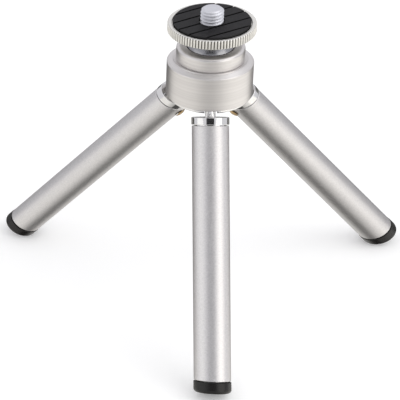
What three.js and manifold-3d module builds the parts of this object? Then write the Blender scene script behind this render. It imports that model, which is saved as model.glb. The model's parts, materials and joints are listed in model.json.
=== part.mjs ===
// Pocket tripod: three telescopic tube legs that fold under a ball head with a camera screw.
// Millimetres, +Z up. The head is laid out from the housing's lower rim (z = 0) and the legs from their
// hinge pins; the whole is then stood on its feet, with the origin under the middle of its bounding box.

import * as THREE from 'three';
import { mergeVertices } from 'three/addons/utils/BufferGeometryUtils.js';
import Module from 'manifold-3d';

// ---- driving dimensions ----
const clearance = 0.3;          // between pieces that touch or slide
const roundSides = 32;          // facets of the head's rounds
const legSides = 24;            // facets of the legs' rounds
const smallSides = 16;          // facets of a small round

const legSplay = 33.2;          // degrees, leg from the vertical when open
const legAzimuths = { front: -90, right: 30, left: 150 };
const legLength = 100;          // hinge pin to the foot's end, closed
const legTubeRadius = 5.1;
const legTubeWall = 0.5;
const foldedLegGap = 1.03;      // between neighbouring feet when folded
const innerTubeWall = 0.5;
const tubeEndChamfer = 0.3;
const bushWall = 0.5;
const bushLength = 8;
const sliderLength = 6;
const sliderInset = 2;          // ferrule's spigot to the slider

const hingeHeight = 1.0;        // hinge pin above the housing's lower rim
const hingePinRadius = 0.8;
const hingePinInset = 0.6;      // pin's end inside the hinge disc's plug
const eyeRadius = 2.3;
const eyeWidth = 2.9;
const eyeRoom = 0.4;            // eye to the cavity's wall
const neckRadius = 1.45;
const neckGrip = 7;             // neck's length inside the ferrule

const ferruleTop = 5.6;         // hinge pin to the ferrule's top face
const ferruleHeight = 2.6;
const ferruleLip = 0.1;         // ferrule's radius beyond the tube's
const ferruleEdge = 0.2;
const spigotLength = 6;

const brassScrewBelowFerrule = 3.2;
const brassScrewHeadRadius = 1.8;
const brassScrewRimHeight = 0.13;
const brassScrewTopRadius = 0.8;
const brassScrewShankRadius = 0.7;
const brassScrewDepth = 2.2;

const footLip = 0.1;            // foot's radius beyond the tube's
const footStraight = 2.9;
const footChamfer = 1.1;
const footDome = 0.25;
const footPlugLength = 8;
const footSocketDepth = 2.2;

const hingeCavityHeight = 4.7;
const webThickness = 2.8;
const housingHeight = 12.8;
const housingWall = 2.6;        // outside the hinge cavity
const housingEdge = 0.35;
const shoulderRise = 1.4;
const shoulderWidth = 2;
const shoulderInset = 0.5;      // shoulder's top edge outside the collar

const discInset = 0.9;          // disc's rim inside the housing's
const discThickness = 1.2;
const discEdge = 0.2;

const centreScrewRadius = 2;
const centreScrewHeadRadius = 3.2;
const centreScrewHeadHeight = 1.1;
const driveSlotWidth = 0.8;
const driveSlotDepth = 0.6;

const springWasherRadius = 7.2;
const springWasherBore = 3.6;
const springWasherThickness = 0.6;

const ballRadius = 7;
const ballNeckRadius = 3.2;
const ballNeckLength = 1.6;     // ball's top to the plate
const seatWall = 0.35;          // seat's outside beyond the bowl's radius
const seatFloor = 0.8;
const seatBelowCentre = 2.8;    // seat's rim under the ball's centre
const seatDrainRadius = 2;

const collarSkirtWall = 0.7;
const collarOverhang = 0.75;    // collar's outside beyond its skirt
const collarAboveCentre = 2.7;  // collar's top over the ball's centre
const collarStepBelowCentre = 0.7;
const collarEdge = 0.8;

const plateRadius = 12.1;
const plateThickness = 3.4;
const plateEdge = 0.35;
const plateRim = 1.5;           // bare metal outside the pad
const knurlRibs = 88;
const knurlDepth = 0.28;

const padRecess = 0.8;
const padProud = 0.7;
const padEdge = 0.2;
const padGrooveWidth = 0.5;
const padGrooveDepth = 0.35;
const padGroovePitch = 4.05;
const padGrooveTurn = 30;       // degrees from +X

const threadRadius = 3.175;     // 1/4-20 UNC
const threadPitch = 1.27;
const threadDepth = 0.7;
const screwShankRadius = 2.2;
const screwProud = 5.6;         // above the plate's top face
const screwInBall = 4.5;

// ---- solids ----
const wasm = await Module();
wasm.setup();

const radians = THREE.MathUtils.degToRad;
const degrees = THREE.MathUtils.radToDeg;

function solid(geometry) {
  const bare = geometry.clone();
  bare.deleteAttribute('normal');
  bare.deleteAttribute('uv');
  const merged = mergeVertices(bare, 1e-5);
  return new wasm.Manifold(new wasm.Mesh({
    numProp: 3,
    vertProperties: new Float32Array(merged.attributes.position.array),
    triVerts: new Uint32Array(merged.index.array),
  }));
}

function geometryOf(shape) {
  const mesh = shape.getMesh();
  const geometry = new THREE.BufferGeometry();
  geometry.setAttribute('position', new THREE.BufferAttribute(new Float32Array(mesh.vertProperties), 3));
  geometry.setIndex(new THREE.BufferAttribute(new Uint32Array(mesh.triVerts), 1));
  const flat = geometry.toNonIndexed();
  flat.computeVertexNormals();
  return flat;
}

// Turns a closed (radius, height) outline about +Z.
function turned(outline, sides = roundSides) {
  const points = outline.map(([r, z]) => new THREE.Vector2(r, z));
  if (outline[0][0] > 0) points.push(points[0].clone());
  const geometry = new THREE.LatheGeometry(points, sides);
  return geometry.rotateX(Math.PI / 2);
}

function rod(radius, zLow, zHigh, sides = smallSides) {
  return turned([[0, zLow], [radius, zLow], [radius, zHigh], [0, zHigh]], sides);
}

function ring(outer, inner, zLow, zHigh, sides = roundSides) {
  return turned([[inner, zLow], [outer, zLow], [outer, zHigh], [inner, zHigh]], sides);
}

function box(width, depth, height, x, y, z) {
  return new THREE.BoxGeometry(width, depth, height).translate(x, y, z);
}

function arc(centre, radius, fromAngle, toAngle, steps) {
  const points = [];
  for (let i = 0; i <= steps; i += 1) {
    const angle = radians(fromAngle + (toAngle - fromAngle) * i / steps);
    points.push([centre[0] + radius * Math.cos(angle), centre[1] + radius * Math.sin(angle)]);
  }
  return points;
}

// A round bar whose radius is a function of its turn angle and height, closed by flat ends.
function profiledBar(heights, columns, radiusAt) {
  const positions = [];
  const index = [];
  heights.forEach((z) => {
    for (let j = 0; j < columns; j += 1) {
      const angle = 2 * Math.PI * j / columns;
      const r = radiusAt(angle, z);
      positions.push(r * Math.cos(angle), r * Math.sin(angle), z);
    }
  });
  const bottom = positions.length / 3;
  positions.push(0, 0, heights[0]);
  const top = bottom + 1;
  positions.push(0, 0, heights[heights.length - 1]);
  for (let i = 0; i + 1 < heights.length; i += 1) {
    for (let j = 0; j < columns; j += 1) {
      const a = i * columns + j;
      const b = i * columns + (j + 1) % columns;
      index.push(a, b, b + columns, a, b + columns, a + columns);
    }
  }
  const last = (heights.length - 1) * columns;
  for (let j = 0; j < columns; j += 1) {
    const next = (j + 1) % columns;
    index.push(bottom, next, j);
    index.push(top, last + j, last + next);
  }
  const geometry = new THREE.BufferGeometry();
  geometry.setAttribute('position', new THREE.Float32BufferAttribute(positions, 3));
  geometry.setIndex(index);
  return geometry;
}

function finish(colour, roughness, metalness) {
  return new THREE.MeshStandardMaterial({ color: colour, roughness, metalness });
}

const chrome = finish(0xd9dade, 0.12, 1);
const turnedAluminium = finish(0xb9bcc4, 0.38, 1);
const satinAluminium = finish(0xc4c6ca, 0.33, 1);
const creamNickel = finish(0xe2e0d4, 0.35, 0.8);
const brightZinc = finish(0xc9ccd2, 0.28, 1);
const brass = finish(0xb08a4a, 0.3, 1);
const blackRubber = finish(0x17181a, 0.62, 0);
const whiteNylon = finish(0xe4e2da, 0.5, 0);
const springSteel = finish(0x8e9196, 0.35, 1);

function part(name, shape, material) {
  const mesh = new THREE.Mesh(shape.isBufferGeometry ? shape : geometryOf(shape), material);
  mesh.name = name;
  return mesh;
}

// ---- head ----
// Sizes work outwards from the ball, and from the folded legs, to the housing that holds both.
const runningRadius = ballRadius + clearance;
const seatRadius = runningRadius + seatWall;
const collarBore = seatRadius + clearance;
const skirtRadius = collarBore + collarSkirtWall;
const collarRadius = skirtRadius + collarOverhang;
const housingBore = skirtRadius + clearance;
const shoulderTopRadius = collarRadius + shoulderInset;

const ferruleRadius = legTubeRadius + ferruleLip;
const footRadius = legTubeRadius + footLip;
const widestLeg = Math.max(ferruleRadius, footRadius);
const sectorHalf = Math.PI / 3;        // a folded leg's share of the turn, to each side
const brassScrewRoom = brassScrewRimHeight + (brassScrewHeadRadius + clearance) / Math.tan(sectorHalf);
const hingeRadius = Math.max(
  (widestLeg + foldedLegGap / 2) / Math.sin(sectorHalf),
  legTubeRadius + clearance / 2 + brassScrewRoom,
);
const splay = radians(legSplay);
const neckReach = hingeHeight * Math.tan(splay) + neckRadius / Math.cos(splay) + clearance;
const hingeCavityRadius = hingeRadius + Math.max(eyeRadius + eyeRoom, neckReach);
const housingRadius = Math.max(shoulderTopRadius + shoulderWidth, hingeCavityRadius + housingWall);
const discRadius = housingRadius - discInset;
const plugRadius = hingeCavityRadius - clearance;
const plugTop = hingeCavityHeight - clearance;

const discTop = -clearance;
const discBottom = discTop - discThickness;
const webTop = hingeCavityHeight + webThickness;
const housingTop = housingHeight + shoulderRise;
const washerBottom = webTop + clearance;
const seatBottom = washerBottom + springWasherThickness + clearance;
const ballCentre = seatBottom + seatFloor + runningRadius;
const seatTop = ballCentre - seatBelowCentre;
const collarBottom = housingTop + clearance;
const collarTop = ballCentre + collarAboveCentre;
const plateBottom = ballCentre + ballRadius + ballNeckLength;
const plateTop = plateBottom + plateThickness;
const padRadius = plateRadius - plateRim;
const padBottom = plateTop - padRecess + clearance;
const padTop = plateTop + padProud;
const screwBottom = plateBottom - clearance - screwInBall;
const screwTop = plateTop + screwProud;

function housing() {
  const shoulder = new THREE.QuadraticBezierCurve(
    new THREE.Vector2(housingRadius, housingHeight),
    new THREE.Vector2(housingRadius - 0.35, housingHeight + 0.75 * shoulderRise),
    new THREE.Vector2(shoulderTopRadius, housingTop),
  ).getPoints(4).map((p) => [p.x, p.y]);
  const body = turned([
    [centreScrewRadius + clearance, hingeCavityHeight],
    [hingeCavityRadius, hingeCavityHeight],
    [hingeCavityRadius, 0],
    [housingRadius - housingEdge, 0],
    [housingRadius, housingEdge],
    ...shoulder,
    [housingBore, housingTop],
    [housingBore, webTop],
    [centreScrewRadius + clearance, webTop],
  ]);
  return part('housing', body, turnedAluminium);
}

function hingeDisc() {
  let disc = solid(turned([
    [centreScrewRadius + clearance, discBottom],
    [discRadius - discEdge, discBottom],
    [discRadius, discBottom + discEdge],
    [discRadius, discTop - discEdge],
    [discRadius - discEdge, discTop],
    [plugRadius, discTop],
    [plugRadius, plugTop],
    [centreScrewRadius + clearance, plugTop],
  ]));
  const slotInner = hingeRadius - eyeRadius - clearance;
  const slotOuter = discRadius + 1;
  const slotBottom = discBottom - 1;
  const slotTop = plugTop + 1;
  const slotWidth = Math.max(eyeWidth, 2 * neckRadius) + 2 * clearance;
  Object.values(legAzimuths).forEach((azimuth) => {
    const slot = box(
      slotOuter - slotInner,
      slotWidth,
      slotTop - slotBottom,
      (slotOuter + slotInner) / 2,
      0,
      (slotTop + slotBottom) / 2,
    ).rotateZ(radians(azimuth));
    const pinHole = rod(hingePinRadius + clearance, -discRadius, discRadius)
      .rotateX(Math.PI / 2)
      .translate(hingeRadius, 0, hingeHeight)
      .rotateZ(radians(azimuth));
    disc = disc.subtract(solid(slot)).subtract(solid(pinHole));
  });
  return part('hinge_disc', disc, chrome);
}

function centreScrew() {
  const headTop = discBottom - clearance;
  const headBottom = headTop - centreScrewHeadHeight;
  const screw = solid(turned([
    [0, headBottom],
    [centreScrewHeadRadius - 0.3, headBottom],
    [centreScrewHeadRadius, headBottom + 0.3],
    [centreScrewHeadRadius, headTop],
    [centreScrewRadius, headTop],
    [centreScrewRadius, webTop - 0.5],
    [centreScrewRadius - 0.4, webTop],
    [0, webTop],
  ], smallSides));
  const slotLength = 2 * centreScrewHeadRadius + 1;
  const slot = box(slotLength, driveSlotWidth, 2 * driveSlotDepth, 0, 0, headBottom);
  return part('centre_screw', screw.subtract(solid(slot)), springSteel);
}

function springWasher() {
  const washerTop = washerBottom + springWasherThickness;
  const washer = ring(springWasherRadius, springWasherBore, washerBottom, washerTop);
  return part('spring_washer', washer, springSteel);
}

function ballSeat() {
  const blank = solid(ring(seatRadius, seatDrainRadius, seatBottom, seatTop));
  const bowl = new THREE.SphereGeometry(runningRadius, roundSides, roundSides / 2).rotateX(Math.PI / 2);
  return part('ball_seat', blank.subtract(solid(bowl.translate(0, 0, ballCentre))), whiteNylon);
}

function collar() {
  const lipAngle = degrees(Math.asin((collarTop - ballCentre) / runningRadius));
  const lipStartAngle = degrees(Math.asin(-collarStepBelowCentre / runningRadius));
  const body = turned([
    [collarBore, seatBottom],
    [skirtRadius, seatBottom],
    [skirtRadius, collarBottom],
    [collarRadius, collarBottom],
    ...arc([collarRadius - collarEdge, collarTop - collarEdge], collarEdge, 0, 90, 4),
    ...arc([0, ballCentre], runningRadius, lipAngle, lipStartAngle, 5),
    [collarBore, ballCentre - collarStepBelowCentre],
  ]);
  return part('clamp_collar', body, turnedAluminium);
}

function ball() {
  const neckTop = plateBottom - clearance;
  const holeRadius = screwShankRadius + clearance;
  const holeBottom = neckTop - screwInBall - clearance;
  const neckStart = degrees(Math.acos(ballNeckRadius / ballRadius));
  const body = turned([
    ...arc([0, ballCentre], ballRadius, -90, neckStart, 12).map(([r, z]) => [Math.max(r, 0), z]),
    [ballNeckRadius, neckTop],
    [holeRadius, neckTop],
    [holeRadius, holeBottom],
    [0, holeBottom],
  ]);
  return part('ball', body, chrome);
}

function cameraPlate() {
  const plain = plateRadius - plateEdge;
  const heights = [plateBottom, plateBottom + plateEdge, plateTop - plateEdge, plateTop];
  const rim = profiledBar(heights, knurlRibs * 2, (angle, z) => {
    const atEdge = z === heights[0] || z === heights[3];
    const column = Math.round(angle * knurlRibs / Math.PI);
    return atEdge ? plain : plateRadius - knurlDepth * (column % 2);
  });
  const recess = rod(padRadius + clearance, plateTop - padRecess, plateTop + 1, roundSides);
  const hole = rod(screwShankRadius + clearance, plateBottom - 1, plateTop + 1);
  return part('camera_plate', solid(rim).subtract(solid(recess)).subtract(solid(hole)), creamNickel);
}

function gripPad() {
  let pad = solid(turned([
    [threadRadius + clearance, padBottom],
    [padRadius, padBottom],
    [padRadius, padTop - padEdge],
    [padRadius - padEdge, padTop],
    [threadRadius + clearance, padTop],
  ]));
  const linesEachSide = Math.floor((padRadius - padGrooveWidth) / padGroovePitch);
  for (let i = -linesEachSide; i <= linesEachSide; i += 1) {
    const groove = box(3 * padRadius, padGrooveWidth, 2 * padGrooveDepth, 0, i * padGroovePitch, padTop)
      .rotateZ(radians(padGrooveTurn));
    pad = pad.subtract(solid(groove));
  }
  return part('grip_pad', pad, blackRubber);
}

function cameraScrew() {
  const rootRadius = threadRadius - threadDepth;
  const stepsPerTurn = 5;
  const threadHeight = screwTop - padBottom;
  const rows = Math.ceil(threadHeight / threadPitch * stepsPerTurn);
  const heights = [screwBottom, padBottom - 0.01];
  for (let i = 0; i <= rows; i += 1) heights.push(padBottom + threadHeight * i / rows);
  const tipChamfer = threadDepth + 0.1;
  const body = profiledBar(heights, 20, (angle, z) => {
    if (z < padBottom) return screwShankRadius;
    const phase = ((z / threadPitch - angle / (2 * Math.PI)) % 1 + 1) % 1;
    const crest = 1 - Math.abs(2 * phase - 1);
    const tip = threadRadius - Math.max(0, tipChamfer - (screwTop - z));
    return Math.min(rootRadius + threadDepth * crest, tip);
  });
  return part('camera_screw', body, brightZinc);
}

// ---- legs ----
// A leg is built along its own axis: the hinge pin at the origin, the foot towards -Z, +X outward.
const tubeBore = legTubeRadius - legTubeWall;
const ferruleBottom = -(ferruleTop + ferruleHeight);
const spigotEnd = ferruleBottom - spigotLength;
const tubeTop = ferruleBottom - clearance;
const footTop = -legLength + footDome + footChamfer + footStraight;
const tubeBottom = footTop + clearance;
const bushTop = tubeBottom + bushLength;
const bushRadius = tubeBore - clearance;
const bushBore = bushRadius - bushWall;
const innerTubeRadius = bushBore - clearance;
const innerBore = innerTubeRadius - innerTubeWall;
const innerBottom = footTop - footSocketDepth + clearance;
const innerTop = spigotEnd - sliderInset;
const brassScrewHeight = ferruleBottom - brassScrewBelowFerrule;

function hingePin(name) {
  const halfLength = Math.sqrt(plugRadius ** 2 - hingeRadius ** 2) - hingePinInset;
  const pin = rod(hingePinRadius, -halfLength, halfLength).rotateX(Math.PI / 2);
  return part(name, pin, springSteel);
}

function eyeBolt(name) {
  const eye = rod(eyeRadius, -eyeWidth / 2, eyeWidth / 2).rotateX(Math.PI / 2);
  const hole = rod(hingePinRadius + clearance, -eyeWidth, eyeWidth).rotateX(Math.PI / 2);
  const neck = rod(neckRadius, -(ferruleTop + neckGrip), -(eyeRadius + hingePinRadius) / 2);
  return part(name, solid(eye).add(solid(neck)).subtract(solid(hole)), chrome);
}

function ferrule(name) {
  const bore = neckRadius + clearance;
  const body = solid(turned([
    [bore, spigotEnd],
    [bushRadius, spigotEnd],
    [bushRadius, ferruleBottom],
    [ferruleRadius - ferruleEdge, ferruleBottom],
    [ferruleRadius, ferruleBottom + ferruleEdge],
    [ferruleRadius, -ferruleTop - ferruleEdge],
    [ferruleRadius - ferruleEdge, -ferruleTop],
    [bore, -ferruleTop],
  ], legSides));
  return part(name, body.subtract(solid(brassScrewHole())), chrome);
}

// The brass screw goes in from the leg's inner side, which is -X.
function brassScrewHole() {
  return rod(brassScrewShankRadius + clearance, neckRadius + clearance, legTubeRadius + 1)
    .rotateY(-Math.PI / 2)
    .translate(0, 0, brassScrewHeight);
}

// Its head slopes as the walls between folded legs do, so that the three heads clear each other.
function brassScrew(name) {
  const headLow = legTubeRadius + clearance / 2;
  const headRim = headLow + brassScrewRimHeight;
  const headHigh = headRim + (brassScrewHeadRadius - brassScrewTopRadius) / Math.tan(sectorHalf);
  const screw = turned([
    [0, headLow - brassScrewDepth],
    [brassScrewShankRadius, headLow - brassScrewDepth],
    [brassScrewShankRadius, headLow],
    [brassScrewHeadRadius, headLow],
    [brassScrewHeadRadius, headRim],
    [brassScrewTopRadius, headHigh],
    [0, headHigh],
  ], smallSides);
  return part(name, screw.rotateY(-Math.PI / 2).translate(0, 0, brassScrewHeight), brass);
}

function legTube(name) {
  const body = solid(turned([
    [tubeBore, tubeBottom],
    [legTubeRadius - tubeEndChamfer, tubeBottom],
    [legTubeRadius, tubeBottom + tubeEndChamfer],
    [legTubeRadius, tubeTop],
    [tubeBore, tubeTop],
  ], legSides));
  return part(name, body.subtract(solid(brassScrewHole())), satinAluminium);
}

function guideBush(name) {
  return part(name, ring(bushRadius, bushBore, tubeBottom, bushTop, legSides), whiteNylon);
}

function slider(name) {
  return part(name, ring(bushRadius, bushBore, innerTop - sliderLength, innerTop, legSides), whiteNylon);
}

function innerTube(name) {
  return part(name, ring(innerTubeRadius, innerBore, innerBottom, innerTop, legSides), satinAluminium);
}

function foot(name) {
  const stemRadius = innerBore - clearance;
  const stemEdge = 0.5;
  const socketRadius = innerTubeRadius + clearance;
  const socketBottom = footTop - footSocketDepth;
  const chamferRadius = footRadius - footChamfer;
  const body = turned([
    [0, -legLength],
    [chamferRadius / 2, -legLength + footDome / 4],
    [chamferRadius, -legLength + footDome],
    [footRadius, -legLength + footDome + footChamfer],
    [footRadius, footTop],
    [socketRadius, footTop],
    [socketRadius, socketBottom],
    [stemRadius, socketBottom],
    [stemRadius, footTop + footPlugLength - stemEdge],
    [stemRadius - stemEdge, footTop + footPlugLength],
    [0, footTop + footPlugLength],
  ], legSides);
  return part(name, body, blackRubber);
}

function leg(side, azimuth) {
  const stem = `leg_${side}`;
  const group = new THREE.Group();
  group.add(
    hingePin(`${stem}_hinge_pin`),
    eyeBolt(`${stem}_eye_bolt`),
    ferrule(`${stem}_ferrule`),
    brassScrew(`${stem}_brass_screw`),
    legTube(`${stem}_tube`),
    guideBush(`${stem}_guide_bush`),
    slider(`${stem}_slider`),
    innerTube(`${stem}_inner_tube`),
    foot(`${stem}_foot`),
  );
  group.position.set(hingeRadius, 0, hingeHeight);
  group.rotation.y = -splay;
  const turn = new THREE.Group();
  turn.rotation.z = radians(azimuth);
  turn.add(group);
  return turn;
}

// ---- assembly ----
const tripod = new THREE.Group();
tripod.add(
  housing(),
  hingeDisc(),
  centreScrew(),
  springWasher(),
  ballSeat(),
  collar(),
  ball(),
  cameraPlate(),
  gripPad(),
  cameraScrew(),
);
Object.entries(legAzimuths).forEach(([side, azimuth]) => tripod.add(leg(side, azimuth)));

tripod.updateMatrixWorld(true);
const bounds = new THREE.Box3().setFromObject(tripod, true);
const middle = bounds.getCenter(new THREE.Vector3());
tripod.position.set(-middle.x, -middle.y, -bounds.min.z);

export default tripod;
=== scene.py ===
import json
import math
import bpy
from mathutils import Matrix, Vector


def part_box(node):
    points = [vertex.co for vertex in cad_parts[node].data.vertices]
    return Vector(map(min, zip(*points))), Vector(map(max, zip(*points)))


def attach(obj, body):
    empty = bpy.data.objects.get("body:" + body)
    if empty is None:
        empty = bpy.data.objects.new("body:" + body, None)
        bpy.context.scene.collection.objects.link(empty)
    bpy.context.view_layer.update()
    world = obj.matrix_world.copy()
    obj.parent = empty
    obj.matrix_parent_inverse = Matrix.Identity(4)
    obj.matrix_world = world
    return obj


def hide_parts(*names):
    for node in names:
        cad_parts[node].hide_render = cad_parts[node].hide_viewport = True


# Pocket tripod: a ball head on three folding, telescopic tube legs.
# Head sizes are millimetres from the housing's lower rim, leg sizes are millimetres from the hinge pin.

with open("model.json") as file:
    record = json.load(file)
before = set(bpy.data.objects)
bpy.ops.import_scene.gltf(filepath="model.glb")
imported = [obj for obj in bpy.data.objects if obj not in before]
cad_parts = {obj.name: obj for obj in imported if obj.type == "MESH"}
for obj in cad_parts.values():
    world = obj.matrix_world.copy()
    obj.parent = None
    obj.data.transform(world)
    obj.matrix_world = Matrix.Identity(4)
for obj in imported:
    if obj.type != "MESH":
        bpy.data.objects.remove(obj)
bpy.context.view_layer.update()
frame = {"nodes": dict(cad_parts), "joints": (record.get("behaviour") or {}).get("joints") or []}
mm = 0.001

joints = {joint["name"]: joint for joint in frame["joints"]}
legSides = ("front", "right", "left")
headAxis = Vector(joints["ball_pan"]["pos_m"])
headBase = Vector((headAxis.x, headAxis.y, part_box("housing")[0].z))
print("frame loaded, head axis at", tuple(round(v / mm, 2) for v in headBase))


# ---- camera ----
# A view camera with its back swung: the picture's plane is oblique to the line of sight, which widens it.
cameraSet = {
    "target": (-0.0018, 0.0050, 0.0458),    # metres
    "azimuth": -4.42,                       # degrees
    "elevation": 36.74,
    "distance": 1.1,
    "lens": 284.8,                          # millimetres, as is the sensor
    "sensor": 36,
    "clip": (0.05, 20),
    "pictureRight": (0.7989, 0.0541, -0.5990),    # the picture's axes along the camera's right, up and back
    "pictureUp": (-0.0361, 0.9982, 0.0420),
}


def addCamera(values):
    turn = math.radians(values["azimuth"])
    rise = math.radians(values["elevation"])
    right = Vector((math.cos(turn), math.sin(turn), 0))
    back = Vector((math.sin(turn) * math.cos(rise), -math.cos(turn) * math.cos(rise), math.sin(rise)))
    up = back.cross(right)
    place = Vector(values["target"]) + back * values["distance"]
    axes = Matrix((right, up, back)).transposed()
    wide = axes @ Vector(values["pictureRight"])
    tall = axes @ Vector(values["pictureUp"])
    bpy.ops.object.select_all(action="DESELECT")
    bpy.ops.object.empty_add(location=(0, 0, 0))
    rig = bpy.context.object
    rig.name = "camera_rig"
    bpy.ops.object.camera_add(location=(0, 0, 0), rotation=(0, 0, 0))
    camera = bpy.context.object
    camera.name = "camera"
    camera.data.lens = values["lens"]
    camera.data.sensor_width = values["sensor"]
    camera.data.clip_start, camera.data.clip_end = values["clip"]
    camera.parent = rig
    camera.matrix_parent_inverse = Matrix((
        (wide.x, tall.x, back.x, place.x),
        (wide.y, tall.y, back.y, place.y),
        (wide.z, tall.z, back.z, place.z),
        (0, 0, 0, 1),
    ))
    bpy.context.scene.camera = camera


addCamera(cameraSet)
print("camera placed")


# ---- materials ----

# turns an sRGB hex colour to linear
def linear(hexColour, alpha=1.0):
    channels = [int(hexColour[i:i + 2], 16) / 255 for i in (1, 3, 5)]
    return [c / 12.92 if c <= 0.04045 else ((c + 0.055) / 1.055) ** 2.4 for c in channels] + [alpha]


def newMaterial(name):
    material = bpy.data.materials.new(name)
    material.use_nodes = True
    tree = material.node_tree
    tree.nodes.clear()
    output = tree.nodes.new("ShaderNodeOutputMaterial")
    shader = tree.nodes.new("ShaderNodeBsdfPrincipled")
    tree.links.new(shader.outputs[0], output.inputs["Surface"])
    return material, tree, shader


# adds one node: settings are its properties, values its socket numbers, links its wired inputs
def addNode(tree, kind, settings=None, values=None, links=None):
    node = tree.nodes.new("ShaderNode" + kind)
    for key, value in (settings or {}).items():
        setattr(node, key, value)
    for key, value in (values or {}).items():
        node.inputs[key].default_value = value
    for key, socket in (links or {}).items():
        tree.links.new(socket, node.inputs[key])
    return node


# radius from the head's axis and height, as a plane in which turning marks are straight lines
def turningPlane(tree):
    place = addNode(tree, "TexCoord")
    centred = addNode(tree, "Mapping", values={"Location": (-headBase.x, -headBase.y, 0)},
                      links={"Vector": place.outputs["Object"]})
    flat = addNode(tree, "VectorMath", {"operation": "MULTIPLY"}, {1: (1, 1, 0)}, {0: centred.outputs[0]})
    radius = addNode(tree, "VectorMath", {"operation": "LENGTH"}, None, {0: flat.outputs[0]})
    split = addNode(tree, "SeparateXYZ", links={0: centred.outputs[0]})
    return addNode(tree, "CombineXYZ", links={"X": radius.outputs["Value"], "Y": split.outputs["Z"]})


# mixes two colours by a noise's factor and gives the result to the shader
def colourFrom(tree, shader, factor, shade, colour):
    mixed = addNode(tree, "Mix", {"data_type": "RGBA"}, {6: linear(shade), 7: linear(colour)}, {0: factor})
    tree.links.new(mixed.outputs[2], shader.inputs["Base Color"])
    return mixed


noiseMiddle = (0.3, 0.7)    # the range most of a noise's values lie in


def roughnessFrom(tree, shader, factor, low, high):
    rough = addNode(tree, "MapRange", None,
                    {"From Min": noiseMiddle[0], "From Max": noiseMiddle[1], "To Min": low, "To Max": high},
                    {"Value": factor})
    tree.links.new(rough.outputs[0], shader.inputs["Roughness"])


def bumpFrom(tree, shader, factor, strength, height):
    bump = addNode(tree, "Bump", None, {"Strength": strength, "Distance": height * mm}, {"Height": factor})
    tree.links.new(bump.outputs[0], shader.inputs["Normal"])


# In the values below, a noise is its grain in mm, its detail and its roughness. A bump is its strength
# and its height in mm. A surface's roughness goes from its first value to its second over the noise.
def noiseFactor(tree, vector, grain, detail, rough):
    values = {"Scale": 1 / (grain * mm), "Detail": detail, "Roughness": rough}
    return addNode(tree, "TexNoise", None, values, {"Vector": vector}).outputs["Fac"]


turnedSet = {
    "colour": "#dedbd9",
    "shade": "#c0bdbb",
    "bands": (0.9, 3.0, 0.5),
    "marks": (0.16, 2.0, 0.7),      # tool marks, drawn coarser than real ones so that they show
    "bump": (0.4, 0.006),
    "roughness": (0.34, 0.44),
    "metallic": 1.0,
}


# Turned and clear-anodised aluminium: rings from the lathe tool, a cool silvery sheen with soft edges.
def turnedAluminium(values):
    material, tree, shader = newMaterial("turned_aluminium")
    plane = turningPlane(tree).outputs[0]
    marks = noiseFactor(tree, plane, *values["marks"])
    bands = noiseFactor(tree, plane, *values["bands"])
    colourFrom(tree, shader, bands, values["shade"], values["colour"])
    roughnessFrom(tree, shader, marks, *values["roughness"])
    bumpFrom(tree, shader, marks, *values["bump"])
    shader.inputs["Metallic"].default_value = values["metallic"]
    return material


nickelSet = {
    "colour": "#efede8",
    "shade": "#dcdad4",
    # the valley colour is painted shade, laid into the grip's valleys
    "valley": "#6f6d68",
    "grip": 12.1,                   # mm, radius over the grip's ribs
    "valleyDepth": (0.1, 0.36),     # mm below that, where the darkening starts and is full
    "upright": (0.5, 0.8),          # upward lean of a face, from full painted shade to none
    "rings": (0.2, 2.0, 0.7),       # tool marks, drawn coarser than real ones so that they show
    "bump": (0.4, 0.008),
    "roughness": 0.4,
    "metallic": 0.9,
}


# Satin nickel on brass: warm white metal, lathe rings on its flat rim, and painted shade darkening the
# valleys of the grip.
def satinNickel(values):
    material, tree, shader = newMaterial("satin_nickel")
    plane = turningPlane(tree).outputs[0]
    rings = noiseFactor(tree, plane, *values["rings"])
    unshadedColour = colourFrom(tree, shader, rings, values["shade"], values["colour"])
    shallow, full = values["valleyDepth"]
    radius = addNode(tree, "SeparateXYZ", links={0: plane})
    deep = addNode(tree, "MapRange", None,
                   {"From Min": (values["grip"] - full) * mm, "From Max": (values["grip"] - shallow) * mm,
                    "To Min": 1.0, "To Max": 0.0}, {"Value": radius.outputs["X"]})
    place = addNode(tree, "TexCoord")
    facing = addNode(tree, "SeparateXYZ", links={0: place.outputs["Normal"]})
    lean = addNode(tree, "Math", {"operation": "ABSOLUTE"}, None, {0: facing.outputs["Z"]})
    upright = addNode(tree, "MapRange", None,
                      {"From Min": values["upright"][0], "From Max": values["upright"][1],
                       "To Min": 1.0, "To Max": 0.0}, {"Value": lean.outputs[0]})
    # painted shade: deep, upright faces between the ribs are darkened towards the valley colour
    paintedShade = addNode(tree, "Math", {"operation": "MULTIPLY"}, None,
                    {0: deep.outputs[0], 1: upright.outputs[0]})
    shaded = addNode(tree, "Mix", {"data_type": "RGBA"}, {7: linear(values["valley"])},
                     {0: paintedShade.outputs[0], 6: unshadedColour.outputs[2]})
    tree.links.new(shaded.outputs[2], shader.inputs["Base Color"])
    bumpFrom(tree, shader, rings, *values["bump"])
    shader.inputs["Metallic"].default_value = values["metallic"]
    shader.inputs["Roughness"].default_value = values["roughness"]
    return material


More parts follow.
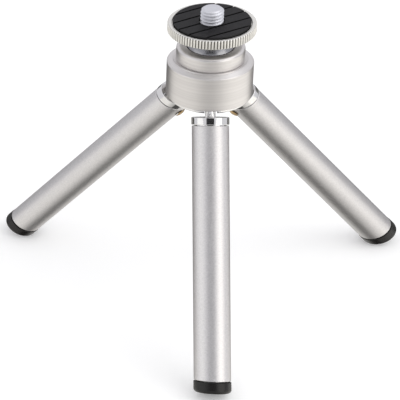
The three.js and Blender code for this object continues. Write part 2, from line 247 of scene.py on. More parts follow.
metalSet = {
    # Bead-blasted and anodised tube: a fine pearly grain that breaks reflections up softly.
    "blasted_aluminium": {"colour": "#e8e6e5", "shade": "#bab8b8", "roughness": (0.38, 0.48),
                          "grain": (0.45, 3.0, 0.6), "bump": (0.6, 0.01), "metallic": 1.0},
    # Chrome plate: a near mirror with faint handling haze.
    "chrome_plate": {"colour": "#dddcdb", "shade": "#d1d0cf", "roughness": (0.07, 0.13),
                     "grain": (0.8, 4.0, 0.6), "bump": (0.1, 0.01), "metallic": 1.0},
    # The ball's plating is worn satin by its seat, so that it gives only a broad sheen; its grey colour is
    # painted shade, darker for its place under the plate.
    "worn_chrome_painted_shade": {"colour": "#98989b", "shade": "#86868a", "roughness": (0.22, 0.3),
                    "grain": (0.5, 4.0, 0.6), "bump": (0.2, 0.01), "metallic": 1.0},
    # Bright zinc plate on a rolled thread: silvery, with soft highlights on each crest.
    "bright_zinc_plate": {"colour": "#dcdce0", "shade": "#cccdd2", "roughness": (0.42, 0.5),
                          "grain": (0.5, 4.0, 0.6), "bump": (0.05, 0.01), "metallic": 0.8},
    # Ground spring steel: grey and a little dull.
    "ground_steel": {"colour": "#9a9da3", "shade": "#85888e", "roughness": (0.3, 0.42),
                     "grain": (0.4, 4.0, 0.6), "bump": (0.4, 0.01), "metallic": 1.0},
    # Turned brass, slightly tarnished: warm gold with browner patches.
    "turned_brass": {"colour": "#cdb48a", "shade": "#86693f", "roughness": (0.2, 0.35),
                     "grain": (0.35, 4.0, 0.6), "bump": (0.6, 0.01), "metallic": 1.0},
}


# a metal whose colour, roughness and bump vary with one noise on the piece
def grainedMetal(name):
    values = metalSet[name]
    material, tree, shader = newMaterial(name)
    place = addNode(tree, "TexCoord")
    grain = noiseFactor(tree, place.outputs["Object"], *values["grain"])
    colourFrom(tree, shader, grain, values["shade"], values["colour"])
    roughnessFrom(tree, shader, grain, *values["roughness"])
    bumpFrom(tree, shader, grain, *values["bump"])
    shader.inputs["Metallic"].default_value = values["metallic"]
    return material


rubberSet = {
    # Moulded synthetic rubber of the feet: near black, with a faint sheen on its moulding grain.
    "moulded_rubber": {"colour": "#181513", "shade": "#0f0d0b", "roughness": (0.22, 0.36),
                       "grain": (0.25, 3.0, 0.5), "bump": (0.3, 0.03), "gloss": 0.3},
    # Die-cut rubber sheet of the pad: greyer and duller than the feet, with a leathery grain.
    "pad_rubber": {"colour": "#232223", "shade": "#131214", "roughness": (0.44, 0.58),
                   "grain": (0.3, 3.0, 0.5), "bump": (0.9, 0.03), "gloss": 0.25},
}
rubberPatches = (3, 2.0, 0.5)
rubberIor = 1.5


# a rubber with a fine grain and broader patches of colour
def mouldedRubber(name):
    values = rubberSet[name]
    material, tree, shader = newMaterial(name)
    place = addNode(tree, "TexCoord").outputs["Object"]
    grain = noiseFactor(tree, place, *values["grain"])
    patches = noiseFactor(tree, place, *rubberPatches)
    colourFrom(tree, shader, patches, values["shade"], values["colour"])
    roughnessFrom(tree, shader, grain, *values["roughness"])
    bumpFrom(tree, shader, grain, *values["bump"])
    shader.inputs["IOR"].default_value = rubberIor
    shader.inputs["Specular IOR Level"].default_value = values["gloss"]
    return material


nylonSet = {
    "colour": "#ece9e0",
    "shade": "#dedbd0",
    "patches": (2, 2.0, 0.5),
    "roughness": 0.45,
    "ior": 1.53,
    "seeThrough": 0.1,
    "seeDepth": 1,                  # mm that light goes in
}


# Natural nylon: milky off-white, slightly see-through, with a waxy gloss.
def naturalNylon(values):
    material, tree, shader = newMaterial("natural_nylon")
    place = addNode(tree, "TexCoord")
    patches = noiseFactor(tree, place.outputs["Object"], *values["patches"])
    colourFrom(tree, shader, patches, values["shade"], values["colour"])
    shader.inputs["Roughness"].default_value = values["roughness"]
    shader.inputs["IOR"].default_value = values["ior"]
    shader.inputs["Subsurface Weight"].default_value = values["seeThrough"]
    shader.inputs["Subsurface Scale"].default_value = values["seeDepth"] * mm
    return material


finishes = {
    "turned_aluminium": turnedAluminium(turnedSet),
    "satin_aluminium": grainedMetal("blasted_aluminium"),
    "chrome": grainedMetal("chrome_plate"),
    "plate_nickel": satinNickel(nickelSet),
    "bright_zinc": grainedMetal("bright_zinc_plate"),
    "spring_steel": grainedMetal("ground_steel"),
    "brass": grainedMetal("turned_brass"),
    "black_rubber": mouldedRubber("moulded_rubber"),
    "nylon": naturalNylon(nylonSet),
}
padRubber = mouldedRubber("pad_rubber")
# the ball's chrome, darkened as painted shade
ballChrome = grainedMetal("worn_chrome_painted_shade")
print("materials made")


# ---- shaping helpers ----
weld = 0.001    # mm, points closer than this become one
past = 1        # mm, how far a cutting tool reaches past what it cuts


def arcPoints(centre, radius, start, end, steps):
    angles = [math.radians(start + (end - start) * i / steps) for i in range(steps + 1)]
    return [(centre[0] + radius * math.cos(a), centre[1] + radius * math.sin(a)) for a in angles]


# a line of points, each a radius and a height, drawn out from one point and left open in edit mode
def drawOutline(name, points):
    bpy.ops.object.select_all(action="DESELECT")
    bpy.ops.mesh.primitive_plane_add(size=mm, location=(0, 0, 0))
    piece = bpy.context.object
    piece.name = name
    bpy.ops.object.mode_set(mode="EDIT")
    bpy.ops.mesh.select_mode(type="VERT")
    bpy.ops.mesh.select_all(action="SELECT")
    bpy.ops.mesh.merge(type="CENTER")
    bpy.ops.transform.translate(value=(points[0][0] * mm, 0, points[0][1] * mm))
    for (r0, z0), (r1, z1) in zip(points, points[1:]):
        step = ((r1 - r0) * mm, 0, (z1 - z0) * mm)
        bpy.ops.mesh.extrude_region_move(TRANSFORM_OT_translate={"value": step})
    bpy.ops.mesh.select_all(action="SELECT")
    return piece


# a round piece: its outline spun about the upright axis
def turnedPiece(name, outline, steps=96):
    points = outline if outline[0][0] == 0 else outline + [outline[0]]
    piece = drawOutline(name, points)
    bpy.ops.mesh.spin(steps=steps, angle=2 * math.pi, center=(0, 0, 0), axis=(0, 0, 1))
    bpy.ops.mesh.select_all(action="SELECT")
    bpy.ops.mesh.remove_doubles(threshold=weld * mm)
    bpy.ops.mesh.normals_make_consistent(inside=False)
    bpy.ops.object.mode_set(mode="OBJECT")
    return piece


def selectOnly(piece):
    bpy.ops.object.select_all(action="DESELECT")
    piece.select_set(True)
    bpy.context.view_layer.objects.active = piece


def applyModifier(piece, kind, **settings):
    bpy.context.view_layer.objects.active = piece
    modifier = piece.modifiers.new(kind.lower(), kind)
    for key, value in settings.items():
        setattr(modifier, key, value)
    bpy.ops.object.modifier_apply(modifier=modifier.name)


def combine(piece, tool, operation="DIFFERENCE"):
    applyModifier(piece, "BOOLEAN", operation=operation, object=tool, solver="EXACT")
    bpy.data.objects.remove(tool)


def softenEdges(piece, width, segments=2, angle=30):
    applyModifier(piece, "BEVEL", width=width * mm, segments=segments, limit_method="ANGLE",
                  angle_limit=math.radians(angle), harden_normals=False)


def smoothShade(piece, angle=35):
    selectOnly(piece)
    bpy.ops.object.shade_smooth_by_angle(angle=math.radians(angle), keep_sharp_edges=False)
    applyModifier(piece, "WEIGHTED_NORMAL", keep_sharp=True)


# turns and shifts a piece, then writes that into its mesh, so that the object stays at the origin
def placePiece(piece, matrix):
    selectOnly(piece)
    piece.matrix_world = matrix
    bpy.ops.object.transform_apply(location=True, rotation=True, scale=True)


def copyPiece(piece, name):
    selectOnly(piece)
    bpy.ops.object.duplicate(linked=False)
    copy = bpy.context.object
    copy.name = name
    return copy


def bar(size, centre):
    bpy.ops.object.select_all(action="DESELECT")
    bpy.ops.mesh.primitive_cube_add(size=1, location=Vector(centre) * mm, scale=Vector(size) * mm)
    bpy.ops.object.transform_apply(location=True, rotation=True, scale=True)
    return bpy.context.object


def rod(radius, low, high, vertices=48):
    bpy.ops.object.select_all(action="DESELECT")
    bpy.ops.mesh.primitive_cylinder_add(vertices=vertices, radius=radius * mm, depth=(high - low) * mm,
                                        location=(0, 0, (high + low) / 2 * mm))
    bpy.ops.object.transform_apply(location=True, rotation=True, scale=True)
    return bpy.context.object


# two bars cut a cross recess into the end of a screw's head
def cutCross(piece, height, values):
    size = (values["crossLength"], values["crossWidth"], 2 * values["crossDepth"])
    for turn in (values["crossTurn"], values["crossTurn"] + 90):
        cut = bar(size, (0, 0, height))
        placePiece(cut, Matrix.Rotation(math.radians(turn), 4, "Z"))
        combine(piece, cut)


# leaves selected, in edit mode, the vertices or faces that the test picks
def pick(piece, kind, test):
    bpy.ops.mesh.select_mode(type=kind)
    bpy.ops.mesh.select_all(action="DESELECT")
    bpy.ops.object.mode_set(mode="OBJECT")
    parts = piece.data.vertices if kind == "VERT" else piece.data.polygons
    for part in parts:
        part.select = test(part)
    bpy.ops.object.mode_set(mode="EDIT")


# radius, lowest and highest point of a round CAD node, in mm along the axis of the given place
def measured(node, place):
    back = place.inverted()
    points = [back @ vertex.co / mm for vertex in frame["nodes"][node].data.vertices]
    return max(math.hypot(p.x, p.y) for p in points), min(p.z for p in points), max(p.z for p in points)


def finishPiece(piece, finish, body, node):
    piece.name = node + "_fine"
    piece.data.name = piece.name
    piece.data.materials.clear()
    piece.data.materials.append(finish)
    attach(piece, body)
    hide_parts(node)


headPlace = Matrix.Translation(headBase)


# ---- head ----
housingSet = {
    "wallTop": 12.8, "edge": 0.35, "shoulderInner": 9.6, "shoulderRound": (0.5, 52),
    "lipWidth": 0.6, "lipRise": 0.2, "lipRound": 0.06, "bore": 8.95, "boreChamfer": 0.1, "cavity": 9.3,
    "web": (4.7, 7.5), "screwHole": 2.3,
}


def makeHousing(values):
    radius, low, high = measured("housing", headPlace)
    wallTop = values["wallTop"]
    corner, cornerTurn = values["shoulderRound"]
    inner = (values["shoulderInner"] + values["lipWidth"], high - values["lipRise"])
    webLow, webHigh = values["web"]
    outline = [
        (values["screwHole"], webLow),
        (values["cavity"], webLow),
        (values["cavity"], low),
        *arcPoints((radius - values["edge"], low + values["edge"]), values["edge"], -90, 0, 5),
        (radius, (low + wallTop) / 2),
        *arcPoints((radius - corner, wallTop), corner, 0, cornerTurn, 6),
        inner,
        (inner[0] - values["lipRound"], high),
        (values["bore"] + values["boreChamfer"], high),
        (values["bore"], high - values["boreChamfer"]),
        (values["bore"], webHigh),
        (values["screwHole"], webHigh),
    ]
    piece = turnedPiece("housing", outline, steps=144)
    smoothShade(piece)
    placePiece(piece, headPlace)
    finishPiece(piece, finishes["turned_aluminium"], "housing", "housing")


collarSet = {"bore": 7.95, "skirt": 8.65, "step": 14.25, "ball": 7.1, "ballCentre": 16.8, "edge": 1.1,
             "stepRound": 0.1, "lip": 0.15, "boreTop": 16.1, "mark": (16.35, 0.1, 0.05)}


def makeCollar(values):
    radius, low, high = measured("clamp_collar", headPlace)
    centre = values["ballCentre"]
    small = values["stepRound"]
    lipTop = math.degrees(math.asin((high - values["lip"] - centre) / values["ball"]))
    lipLow = math.degrees(math.asin((values["boreTop"] - centre) / values["ball"]))
    markAt, markWidth, markDepth = values["mark"]
    outline = [
        (values["bore"], low),
        (values["skirt"], low),
        (values["skirt"], values["step"]),
        *arcPoints((radius - small, values["step"] + small), small, -90, 0, 3),
        (radius, markAt),
        (radius - markDepth, markAt + markWidth / 2),
        (radius, markAt + markWidth),
        *arcPoints((radius - values["edge"], high - values["edge"]), values["edge"], 0, 90, 8),
        (values["ball"] * math.cos(math.radians(lipTop)) + values["lip"], high),
        *arcPoints((0, centre), values["ball"], lipTop, lipLow, 10),
        (values["bore"], values["boreTop"]),
    ]
    piece = turnedPiece("clamp_collar", outline, steps=144)
    smoothShade(piece)
    placePiece(piece, headPlace)
    finishPiece(piece, finishes["turned_aluminium"], "clamp_collar", "clamp_collar")


ballSet = {"radius": 7.0, "centre": 16.8, "firstRing": -88, "neck": 3.2, "fillet": 0.8, "chamfer": 0.2,
           "hole": 2.5, "holeDepth": 4.8}


def makeBall(values):
    top = measured("ball", headPlace)[2]
    neck = values["neck"]
    centre = values["centre"]
    # the fillet's circle touches the ball outside and the neck's side
    filletAt = neck + values["fillet"]
    reach = math.sqrt((values["radius"] + values["fillet"]) ** 2 - filletAt ** 2)
    start = math.degrees(math.atan2(reach, filletAt))
    outline = [
        (0, centre - values["radius"]),
        *arcPoints((0, centre), values["radius"], values["firstRing"], start, 40),
        *arcPoints((filletAt, centre + reach), values["fillet"], 180 + start, 180, 6)[1:],
        (neck, top - values["chamfer"]),
        (neck - values["chamfer"], top),
        (values["hole"], top),
        (values["hole"], top - values["holeDepth"]),
        (0, top - values["holeDepth"]),
    ]
    piece = turnedPiece("ball", outline, steps=128)
    smoothShade(piece)
    placePiece(piece, headPlace)
    finishPiece(piece, ballChrome, "ball", "ball")


# ribs stand all round the rim, each two columns of vertices wide with a one-column valley between
plateSet = {"ribs": 88, "ribDepth": 0.4, "edge": 0.25, "rim": 1.2, "recess": 0.8, "hole": 2.5, "soften": 0.06}


def makePlate(values):
    radius, low, high = measured("camera_plate", headPlace)
    edge = values["edge"]
    plain = radius - edge
    columns = values["ribs"] * 3
    near = 0.01    # mm
    bpy.ops.object.select_all(action="DESELECT")
    bpy.ops.mesh.primitive_circle_add(vertices=columns, radius=plain * mm, fill_type="NGON",
                                      location=(0, 0, low * mm))
    piece = bpy.context.object
    bpy.ops.object.transform_apply(location=True, rotation=True, scale=True)

    def column(vertex):
        return round(math.atan2(vertex.co.y, vertex.co.x) / (2 * math.pi) * columns) % 3

    def ringAt(height, valley):
        def test(vertex):
            inRing = abs(vertex.co.z / mm - height) < near
            return inRing and (column(vertex) == 0) == valley
        return test

    def scaled(factor):
        bpy.ops.transform.resize(value=(factor, factor, 1), center_override=(0, 0, 0))

    def topAt(height):
        def test(face):
            return face.normal.z > 0.9 and face.center.z / mm > height - near
        return test

    def raiseTop(fromHeight, step):
        pick(piece, "FACE", topAt(fromHeight))
        bpy.ops.mesh.extrude_region_move(TRANSFORM_OT_translate={"value": (0, 0, step * mm)})

    bpy.ops.object.mode_set(mode="EDIT")
    bpy.ops.mesh.select_all(action="SELECT")
    bpy.ops.mesh.extrude_region_move(TRANSFORM_OT_translate={"value": (0, 0, edge * mm)})
    pick(piece, "VERT", ringAt(low + edge, False))
    scaled(radius / plain)
    pick(piece, "VERT", ringAt(low + edge, True))
    scaled((radius - values["ribDepth"]) / plain)
    raiseTop(low + edge, high - low - 2 * edge)
    raiseTop(high - edge, edge)
    pick(piece, "VERT", ringAt(high, False))
    scaled(plain / radius)
    pick(piece, "VERT", ringAt(high, True))
    scaled(plain / (radius - values["ribDepth"]))
    pick(piece, "FACE", topAt(high))
    bpy.ops.mesh.inset(thickness=(values["rim"] - edge) * mm)
    bpy.ops.mesh.extrude_region_move(TRANSFORM_OT_translate={"value": (0, 0, -values["recess"] * mm)})
    bpy.ops.mesh.select_all(action="SELECT")
    bpy.ops.mesh.normals_make_consistent(inside=False)
    bpy.ops.object.mode_set(mode="OBJECT")
    combine(piece, rod(values["hole"], low - past, high + past, vertices=64))
    softenEdges(piece, values["soften"], angle=32)
    smoothShade(piece, angle=40)
    placePiece(piece, headPlace)
    finishPiece(piece, finishes["plate_nickel"], "camera_plate", "camera_plate")


padSet = {"grooves": 5, "pitch": 4.05, "width": 0.62, "depth": 0.5, "turn": 30, "hole": 3.5, "edge": 0.1,
          "grooveEdge": 0.05}


def makePad(values):
    radius, low, high = measured("grip_pad", headPlace)
    piece = rod(radius, low, high, vertices=160)
    combine(piece, rod(values["hole"], low - past, high + past, vertices=64))
    softenEdges(piece, values["edge"], segments=3)
    grooveSize = (3 * radius, values["width"], 2 * values["depth"])
    middle = (values["grooves"] - 1) / 2
    for i in range(values["grooves"]):
        groove = bar(grooveSize, (0, (i - middle) * values["pitch"], high))
        placePiece(groove, Matrix.Rotation(math.radians(values["turn"]), 4, "Z"))
        combine(piece, groove)
    softenEdges(piece, values["grooveEdge"], angle=40)
    smoothShade(piece, angle=40)
    placePiece(piece, headPlace)
    finishPiece(piece, padRubber, "camera_plate", "grip_pad")


screwSet = {
    "crest": 3.175,
    "root": 2.5,
    "pitch": 1.27,
    "crestFlat": 0.16,
    "crestRound": 0.05,
    "rootFlat": 0.3,
    "sunk": 0.37,           # how deep the ridge sits in the core
    "shank": 2.2,
    "shankChamfer": 0.3,
    "shankOver": 0.05,      # shank runs this far into the thread
    "threadFrom": 28.3,
    "tip": 0.75,
    "topChamfer": 0.15,
    "topGap": 0.03,         # ridge kept below the core's top
    "over": 0.2,            # how far the blank that trims the ridge stands past its crest
    "sliver": 0.006,        # shortest edge left where ridge and core meet
}


# The ridge is one tooth wound upwards, trimmed by a chamfered blank, then joined to the screw's core.
def makeCameraScrew(values):
    low, high = measured("camera_screw", headPlace)[1:]
    root = values["root"]
    crest = values["crest"]
    pitch = values["pitch"]
    foot = (pitch - values["rootFlat"]) / 2
    tip = values["crestFlat"] / 2
    sunk = root - values["sunk"]
    shoulder = crest - values["crestRound"]
    tooth = [(sunk, -foot), (root, -foot), (shoulder, -tip), (crest, -tip / 2),
             (crest, tip / 2), (shoulder, tip), (root, foot), (sunk, foot)]
    # one turn more at each end, which the blank trims
    turns = math.ceil((high - values["threadFrom"]) / pitch) + 2
    start = values["threadFrom"] - pitch
    ridge = drawOutline("ridge", [(r, start + z) for r, z in tooth + tooth[:1]])
    bpy.ops.mesh.remove_doubles(threshold=weld * mm)
    bpy.ops.object.mode_set(mode="OBJECT")
    applyModifier(ridge, "SCREW", angle=2 * math.pi, screw_offset=pitch * mm, iterations=turns, steps=64,
                  render_steps=64)
    bpy.ops.object.mode_set(mode="EDIT")
    bpy.ops.mesh.select_mode(type="EDGE")
    bpy.ops.mesh.select_all(action="DESELECT")
    bpy.ops.mesh.select_non_manifold()
    bpy.ops.mesh.edge_face_add()
    bpy.ops.mesh.select_all(action="SELECT")
    bpy.ops.mesh.normals_make_consistent(inside=False)
    bpy.ops.object.mode_set(mode="OBJECT")
    reach = values["tip"]
    over = values["over"]
    ridgeTop = high - values["topGap"]
    blank = turnedPiece("blank", [
        (0, values["threadFrom"]),
        (crest + over, values["threadFrom"]),
        (crest + over, ridgeTop - reach - over),
        (crest - reach, ridgeTop),
        (0, ridgeTop),
    ], steps=64)
    combine(ridge, blank, "INTERSECT")
    screw = turnedPiece("screw", [
        (0, low),
        (values["shank"] - values["shankChamfer"], low),
        (values["shank"], low + values["shankChamfer"]),
        (values["shank"], values["threadFrom"] + values["shankOver"]),
        (root, values["threadFrom"] + root - values["shank"]),
        (root, high - values["topChamfer"]),
        (root - values["topChamfer"], high),
        (0, high),
    ], steps=64)
    combine(screw, ridge, "UNION")
    bpy.ops.object.mode_set(mode="EDIT")
    bpy.ops.mesh.select_mode(type="VERT")
    bpy.ops.mesh.select_all(action="SELECT")
    bpy.ops.mesh.remove_doubles(threshold=values["sliver"] * mm)
    bpy.ops.object.mode_set(mode="OBJECT")
    smoothShade(screw, angle=40)
    placePiece(screw, headPlace)
    finishPiece(screw, finishes["bright_zinc"], "camera_plate", "camera_screw")


discSet = {"plug": 9.0, "plugFrom": -0.3, "edge": 0.42, "hole": 2.3, "slotWidth": 3.5, "slotFrom": 3.999,
           "pinHole": 1.1, "soften": 0.08}


def makeHingeDisc(values):
    radius, low, high = measured("hinge_disc", headPlace)
    top = values["plugFrom"]
    piece = turnedPiece("hinge_disc", [
        (values["hole"], low),
        *arcPoints((radius - values["edge"], low + values["edge"]), values["edge"], -90, 0, 4),
        *arcPoints((radius - values["edge"], top - values["edge"]), values["edge"], 0, 90, 4),
        (values["plug"], top),
        (values["plug"], high),
        (values["hole"], high),
    ], steps=128)
    slotLength = radius + past - values["slotFrom"]
    for side in legSides:
        pin = Vector(joints["leg_" + side + "_fold"]["pos_m"]) - headBase
        turn = Matrix.Rotation(math.atan2(pin.y, pin.x), 4, "Z")
        slotTool = bar((slotLength, values["slotWidth"], high - low + 2 * past),
                       (values["slotFrom"] + slotLength / 2, 0, (high + low) / 2))
        placePiece(slotTool, turn)
        combine(piece, slotTool)
        hole = rod(values["pinHole"], -radius, radius, vertices=32)
        placePiece(hole, turn @ Matrix.Translation((math.hypot(pin.x, pin.y), 0, pin.z))
                   @ Matrix.Rotation(math.pi / 2, 4, "X"))
        combine(piece, hole)
    softenEdges(piece, values["soften"], angle=40)
    smoothShade(piece, angle=40)
    placePiece(piece, headPlace)
    finishPiece(piece, finishes["chrome"], "housing", "hinge_disc")


centreScrewSet = {"head": 3.2, "headHeight": 1.1, "headRound": 0.5, "shank": 2.0, "chamfer": 0.4,
                  "crossWidth": 0.8, "crossDepth": 0.6, "crossLength": 4.2, "crossTurn": 15, "soften": 0.06}


# pan head with a cross recess
def makeCentreScrew(values):
    low, high = measured("centre_screw", headPlace)[1:]
    head = values["head"]
    shank = values["shank"]
    corner = values["headRound"]
    piece = turnedPiece("centre_screw", [
        (0, low),
        (head - corner, low),
        *arcPoints((head - corner, low + corner), corner, -90, 0, 5)[1:],
        (head, low + values["headHeight"]),
        (shank, low + values["headHeight"]),
        (shank, high - values["chamfer"]),
        (shank - values["chamfer"], high),
        (0, high),
    ], steps=64)
    cutCross(piece, low, values)
    softenEdges(piece, values["soften"], angle=40)
    smoothShade(piece, angle=40)
    placePiece(piece, headPlace)
    finishPiece(piece, finishes["spring_steel"], "housing", "centre_screw")


makeHousing(housingSet)
makeCollar(collarSet)
makeBall(ballSet)
makePlate(plateSet)
makePad(padSet)
makeCameraScrew(screwSet)
makeHingeDisc(discSet)
makeCentreScrew(centreScrewSet)
print("head modelled")


# ---- legs ----
# Each part is made once, upright, hinge pin at the origin and foot down, then copied to each leg.

def legPlace(side):
    along = Vector(joints["leg_" + side + "_extend"]["axis"])
    pin = Vector(joints["leg_" + side + "_fold"]["pos_m"])
    up = -along.normalized()
    outward = Vector((along.x, along.y, 0)).normalized()
    across = Vector((0, 0, 1)).cross(outward)
    front = across.cross(up)
    return Matrix.Translation(pin) @ Matrix((front, across, up)).transposed().to_4x4()


def onEachLeg(master, part, body, finish):
    for side in legSides:
        piece = copyPiece(master, "leg_" + side + "_" + part)
        placePiece(piece, legPlace(side))
        finishPiece(piece, finishes[finish], "leg_" + side + body, "leg_" + side + "_" + part)
    bpy.data.objects.remove(master)


def brassHeight():
    low, high = measured("leg_front_brass_screw", legPlace("front"))[1:]
    return (low + high) / 2


# lays an upright piece down at a height, so that its top faces the leg's inner side
def sidewaysAt(height):
    return Matrix.Translation((0, 0, height * mm)) @ Matrix.Rotation(-math.pi / 2, 4, "Y")


tubeSet = {"wall": 0.5, "endRound": 0.22, "screwHole": 1.0, "loops": 8}


def makeTube(values):
    radius, low, high = measured("leg_front_tube", legPlace("front"))
    bore = radius - values["wall"]
    end = values["endRound"]
    loops = values["loops"]
    rings = [(radius, low + (high - low) * i / loops) for i in range(1, loops)]
    piece = turnedPiece("tube", [
        (bore, low),
        *arcPoints((radius - end, low + end), end, -90, 0, 4),
        *rings,
        *arcPoints((radius - end, high - end), end, 0, 90, 4),
        (bore, high),
    ], steps=96)
    hole = rod(values["screwHole"], 0, radius + past, vertices=32)
    placePiece(hole, sidewaysAt(brassHeight()))
    combine(piece, hole)
    smoothShade(piece, angle=40)
    onEachLeg(piece, "tube", "", "satin_aluminium")


ferruleSet = {"bore": 1.75, "chamfer": 0.15, "spigot": 4.3, "flangeHeight": 2.6, "edge": 0.22,
              "screwHole": 1.0, "holeFrom": 1.55}


def makeFerrule(values):
    radius, low, high = measured("leg_front_ferrule", legPlace("front"))
    step = high - values["flangeHeight"]
    edge = values["edge"]
    piece = turnedPiece("ferrule", [
        (values["bore"], low),
        (values["spigot"], low),
        (values["spigot"], step),
        *arcPoints((radius - edge, step + edge), edge, -90, 0, 5),
        *arcPoints((radius - edge, high - edge), edge, 0, 90, 5),
        (values["bore"] + values["chamfer"], high),
        (values["bore"], high - values["chamfer"]),
    ], steps=96)
    hole = rod(values["screwHole"], values["holeFrom"], radius + past, vertices=32)
    placePiece(hole, sidewaysAt(brassHeight()))
    combine(piece, hole)
    smoothShade(piece, angle=40)
    onEachLeg(piece, "ferrule", "", "chrome")


eyeSet = {"eye": 2.3, "width": 2.9, "pinHole": 1.1, "neck": 1.45, "neckTop": -1, "soften": 0.18}


# the eye is a short barrel across the neck, with its rims rounded over
def makeEyeBolt(values):
    low = measured("leg_front_eye_bolt", legPlace("front"))[1]
    width = values["width"]
    piece = rod(values["eye"], -width / 2, width / 2, vertices=64)
    placePiece(piece, Matrix.Rotation(math.pi / 2, 4, "X"))
    combine(piece, rod(values["neck"], low, values["neckTop"]), "UNION")
    hole = rod(values["pinHole"], -width, width, vertices=32)
    placePiece(hole, Matrix.Rotation(math.pi / 2, 4, "X"))
    combine(piece, hole)
    softenEdges(piece, values["soften"], segments=3, angle=40)
    smoothShade(piece, angle=40)
    onEachLeg(piece, "eye_bolt", "", "chrome")


brassSet = {"head": 1.8, "rim": 0.13, "shank": 0.7, "headFrom": 5.25, "end": 3.05, "crossWidth": 0.5,
            "crossLength": 2.1, "crossDepth": 0.35, "crossTurn": 20, "soften": 0.04}


# domed head with a cross recess, on the leg's inner side
def makeBrassScrew(values):
    place = legPlace("front")
    back = place.inverted()
    points = [back @ vertex.co / mm for vertex in frame["nodes"]["leg_front_brass_screw"].data.vertices]
    top = -min(p.x for p in points)
    base = values["headFrom"]
    head = values["head"]
    rise = top - base - values["rim"]
    domeRadius = (head ** 2 + rise ** 2) / (2 * rise)
    domeEdge = math.degrees(math.acos(head / domeRadius))
    piece = turnedPiece("brass_screw", [
        (0, values["end"]),
        (values["shank"], values["end"]),
        (values["shank"], base),
        (head, base),
        *arcPoints((0, top - domeRadius), domeRadius, domeEdge, 90, 8)[:-1],
        (0, top),
    ], steps=48)
    cutCross(piece, top, values)
    softenEdges(piece, values["soften"], angle=40)
    smoothShade(piece, angle=40)
    placePiece(piece, sidewaysAt(brassHeight()))
    onEachLeg(piece, "brass_screw", "", "brass")


innerSet = {"wall": 0.5, "endRound": 0.15}


def makeInnerTube(values):
    radius, low, high = measured("leg_front_inner_tube", legPlace("front"))
    bore = radius - values["wall"]
    end = values["endRound"]
    piece = turnedPiece("inner_tube", [
        (bore, low),
        *arcPoints((radius - end, low + end), end, -90, 0, 3),
        *arcPoints((radius - end, high - end), end, 0, 90, 3),
        (bore, high),
    ], steps=64)
    smoothShade(piece, angle=40)
    onEachLeg(piece, "inner_tube", "_inner", "satin_aluminium")


footSet = {"dome": 0.25, "corner": 1.25, "cornerFrom": -83, "height": 4.25, "lip": 0.25, "socket": 3.8,
           "socketDepth": 2.2, "socketChamfer": 0.1, "stem": 2.7, "stemChamfer": 0.5}


# a moulded cap: straight sides, a generous corner and a slightly domed sole
def makeFoot(values):
    radius, low, high = measured("leg_front_foot", legPlace("front"))
    rim = low + values["height"]
    corner = values["corner"]
    soleEdge = radius - corner
    socketFloor = rim - values["socketDepth"]
    piece = turnedPiece("foot", [
        (0, low),
        (soleEdge / 2, low + values["dome"] / 4),
        *arcPoints((soleEdge, low + values["dome"] + corner), corner, values["cornerFrom"], 0, 9),
        *arcPoints((radius - values["lip"], rim - values["lip"]), values["lip"], 0, 90, 4),
        (values["socket"] + values["socketChamfer"], rim),
        (values["socket"], rim - values["socketChamfer"]),
        (values["socket"], socketFloor),
        (values["stem"], socketFloor),
        (values["stem"], high - values["stemChamfer"]),
        (values["stem"] - values["stemChamfer"], high),
        (0, high),
    ], steps=96)
    smoothShade(piece, angle=40)
    onEachLeg(piece, "foot", "_inner", "black_rubber")


makeTube(tubeSet)
makeFerrule(ferruleSet)
makeEyeBolt(eyeSet)
makeBrassScrew(brassSet)
makeInnerTube(innerSet)
makeFoot(footSet)
print("legs modelled")


# ---- CAD parts that keep their own shape ----
keptFinishes = {"spring_washer": "spring_steel", "ball_seat": "nylon"}
for side in legSides:
    keptFinishes["leg_" + side + "_hinge_pin"] = "spring_steel"
    keptFinishes["leg_" + side + "_guide_bush"] = "nylon"
    keptFinishes["leg_" + side + "_slider"] = "nylon"
for node, finish in keptFinishes.items():
    kept = frame["nodes"][node]
    kept.data.materials.clear()
    kept.data.materials.append(finishes[finish])
print("kept parts finished")


# ---- floor and light ----
# The world is a pale tent. Shiny surfaces alone see the cards and the reflected floor, which light nothing.
lightSet = {
    "world": ("#fafaff", 0.92),
    "floor": {"size": 3.0, "colour": "#f6f6f3", "shade": "#f3f3f0", "patches": (1000 / 6, 2.0, 0.5),
              "roughness": 0.9, "sheen": 0.1, "glow": 0.2},
    "key": {"size": 0.7, "energy": 1.6, "place": (0.55, -0.15, 0.75), "facing": (0, 0, 0.05)},
    "reflectedFloor": {
        "size": 3.6,                    # metres, as are the depth and the ranges below
        "depth": 0.5,
        "colour": "#fffdf9",
        "right": (0.46, 0.74, 0.5),     # from, to, added brightness
        "left": (-0.17, -0.66, 0.15),
        "back": (0.34, 0.7, 0.12),      # from, to, brightness left
        "under": ((0, -0.11, -0.5), 0.05, 0.5, 0.5),    # centre, from, to, brightness at the centre
        "core": ((0, -0.09, -0.5), 0.17, 0.19, 0.2),
        "front": ((-0.05, -0.74, -0.5), 0.1, 0.55, 0.62),
    },
    "cardsFace": (0, 0, 0.06),
    "cards": {                          # width and height, place, colour, brightness
        "right_card": ((0.42, 0.4), (0.44, -0.36, 0.14), "#fffdfa", 2.1),
        "left_card": ((0.45, 0.35), (-0.5, -0.22, 0.1), "#ffffff", 1.4),
        "top_card": ((0.4, 0.22), (0.04, -0.45, 0.66), "#ffffff", 1.6),
        "camera_shade": ((0.86, 0.34), (-0.064, -0.864, 0.538), "#2a2a2c", 1.5),
    },
}


def glow(name, colour, strength):
    material = bpy.data.materials.new(name)
    material.use_nodes = True
    tree = material.node_tree
    tree.nodes.clear()
    output = tree.nodes.new("ShaderNodeOutputMaterial")
    light = addNode(tree, "Emission", None, {"Color": linear(colour), "Strength": strength})
    tree.links.new(light.outputs[0], output.inputs["Surface"])
    return material


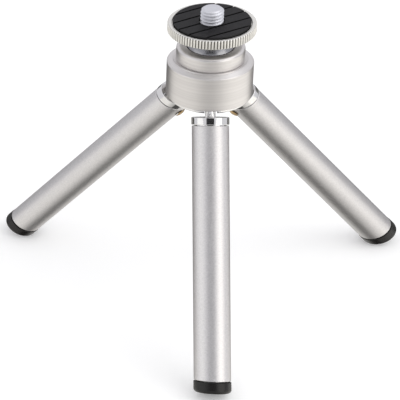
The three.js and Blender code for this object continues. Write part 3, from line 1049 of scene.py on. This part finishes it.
# White paper sweep: matt, very faintly mottled, and lifted a little by its own glow.
def makeFloor(values):
    bpy.ops.object.select_all(action="DESELECT")
    bpy.ops.mesh.primitive_plane_add(size=values["size"], location=(0, 0, 0))
    floor = bpy.context.object
    floor.name = "floor"
    material, tree, shader = newMaterial("paper_sweep")
    place = addNode(tree, "TexCoord")
    patches = noiseFactor(tree, place.outputs["Object"], *values["patches"])
    colourFrom(tree, shader, patches, values["shade"], values["colour"])
    shader.inputs["Roughness"].default_value = values["roughness"]
    shader.inputs["Specular IOR Level"].default_value = values["sheen"]
    shader.inputs["Emission Color"].default_value = (1, 1, 1, 1)
    shader.inputs["Emission Strength"].default_value = values["glow"]
    floor.data.materials.append(material)
    floor.visible_glossy = False


# a card that only shiny surfaces see
def addCard(name, size, place, facing, colour, strength):
    bpy.ops.object.select_all(action="DESELECT")
    bpy.ops.mesh.primitive_plane_add(size=1, location=(0, 0, 0))
    card = bpy.context.object
    card.name = name
    aim = (Vector(facing) - Vector(place)).to_track_quat("Z", "Y")
    placePiece(card, Matrix.LocRotScale(Vector(place), aim, Vector((size[0], size[1], 1))))
    card.data.materials.append(glow(name + "_glow", colour, strength))
    for way in ("camera", "diffuse", "shadow", "transmission", "volume_scatter"):
        setattr(card, "visible_" + way, False)
    return card


def addSoftbox(name, values):
    bpy.ops.object.light_add(type="AREA", location=values["place"])
    lamp = bpy.context.object
    lamp.name = name
    lamp.data.shape = "SQUARE"
    lamp.data.size = values["size"]
    lamp.data.energy = values["energy"]
    lamp.rotation_euler = (Vector(values["facing"]) - lamp.location).to_track_quat("-Z", "Y").to_euler()


# Shiny surfaces see this sheet in place of the paper, deep below it so that each leg shows it evenly:
# shaded under, behind and before the tripod, brighter on the lit sides.
def addReflectedFloor(values):
    card = addCard("reflected_floor", (values["size"], values["size"]), (0, 0, -values["depth"]), (0, 0, 1),
                   values["colour"], 1.0)
    tree = card.data.materials[0].node_tree
    place = addNode(tree, "TexCoord")
    split = addNode(tree, "SeparateXYZ", links={0: place.outputs["Object"]})

    def ramp(socket, start, end, low, high):
        node = addNode(tree, "MapRange", {"interpolation_type": "SMOOTHSTEP"},
                       {"From Min": start, "From Max": end, "To Min": low, "To Max": high}, {"Value": socket})
        return node.outputs[0]

    def patch(centre, start, end, low):
        away = addNode(tree, "VectorMath", {"operation": "DISTANCE"}, {1: centre},
                       {0: place.outputs["Object"]})
        return ramp(away.outputs["Value"], start, end, low, 1)

    right = values["right"]
    left = values["left"]
    back = values["back"]
    sides = addNode(tree, "Math", {"operation": "ADD"}, None, {
        0: ramp(split.outputs["X"], right[0], right[1], 0, right[2]),
        1: ramp(split.outputs["X"], left[0], left[1], 0, left[2]),
    })
    glare = addNode(tree, "Math", {"operation": "ADD"}, {1: 1.0}, {0: sides.outputs[0]}).outputs[0]
    for shade in (ramp(split.outputs["Y"], back[0], back[1], 1, back[2]), patch(*values["under"]),
                  patch(*values["core"]), patch(*values["front"])):
        glare = addNode(tree, "Math", {"operation": "MULTIPLY"}, None, {0: glare, 1: shade}).outputs[0]
    emission = next(node for node in tree.nodes if node.type == "EMISSION")
    tree.links.new(glare, emission.inputs["Strength"])


scene = bpy.context.scene
scene.world = bpy.data.worlds.new("pale_tent")
scene.world.use_nodes = True
background = scene.world.node_tree.nodes["Background"]
background.inputs["Color"].default_value = linear(lightSet["world"][0])
background.inputs["Strength"].default_value = lightSet["world"][1]
scene.view_settings.view_transform = "Standard"
scene.view_settings.look = "None"
makeFloor(lightSet["floor"])
addSoftbox("key", lightSet["key"])
addReflectedFloor(lightSet["reflectedFloor"])
for cardName, (cardSize, cardPlace, cardColour, cardStrength) in lightSet["cards"].items():
    addCard(cardName, cardSize, cardPlace, lightSet["cardsFace"], cardColour, cardStrength)

print("floor and light placed")
